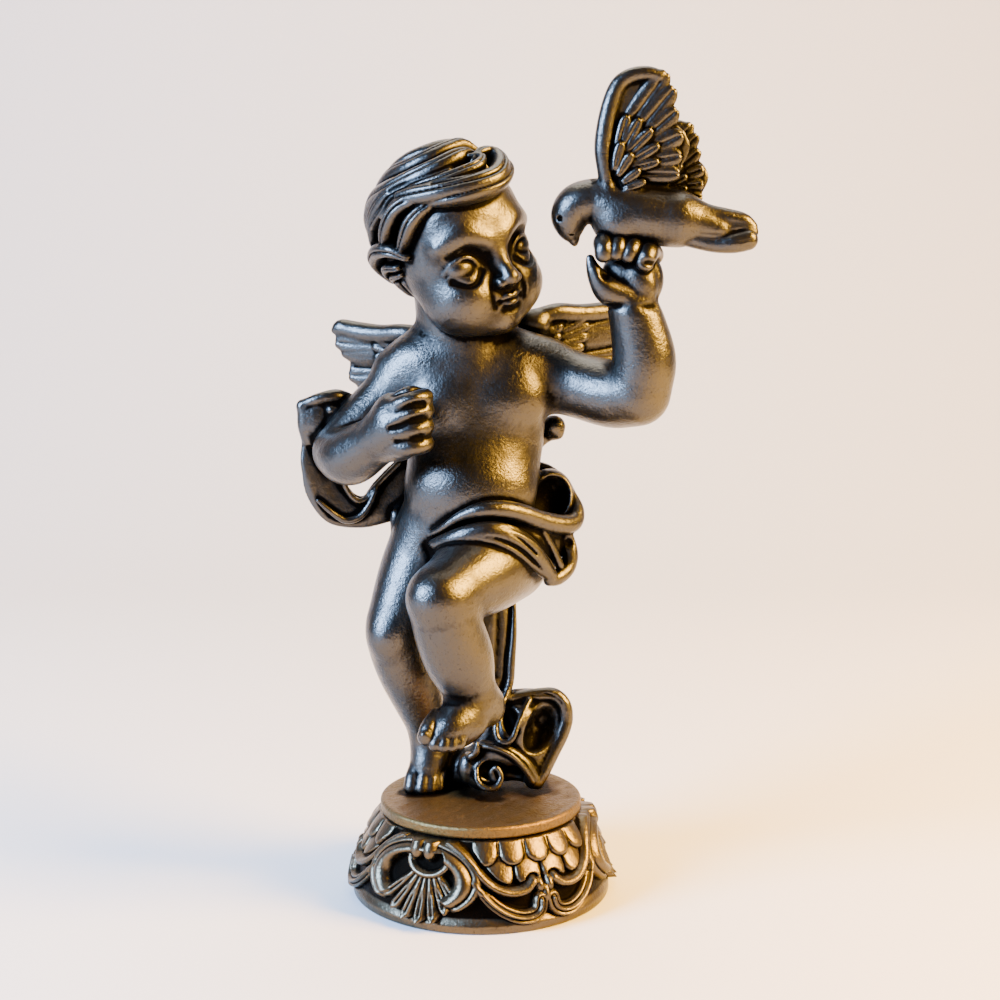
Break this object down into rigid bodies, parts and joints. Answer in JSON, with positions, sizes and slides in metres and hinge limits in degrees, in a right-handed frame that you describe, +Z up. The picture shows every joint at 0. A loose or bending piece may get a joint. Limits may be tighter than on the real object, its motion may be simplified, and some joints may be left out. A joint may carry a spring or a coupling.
{
  "type": "cherub figurine",
  "caption": "Standing winged cherub in thin drapery with a dove on its raised left hand, on a round ground disc and a low flared socle carved with shells, scales and swags.",
  "frame": {"origin": "centre of the socle's flat underside", "axes": "+Z up through the socle's axis; -Y is where the cherub's chest faces; +X is the side of the raised arm with the dove"},
  "size_m": [0.075, 0.0459, 0.1393],
  "materials": {
    "figure": "cast pewter, antiqued dark and rubbed back to a satin gloss",
    "socle": "cast pewter, antiqued with a brown patina in the hollows, raised edges rubbed bright"
  },
  "bodies": {
    "root": {"cherub_with_dove": "figure", "rocaille_socle": "socle"}
  },
  "joints": []
}
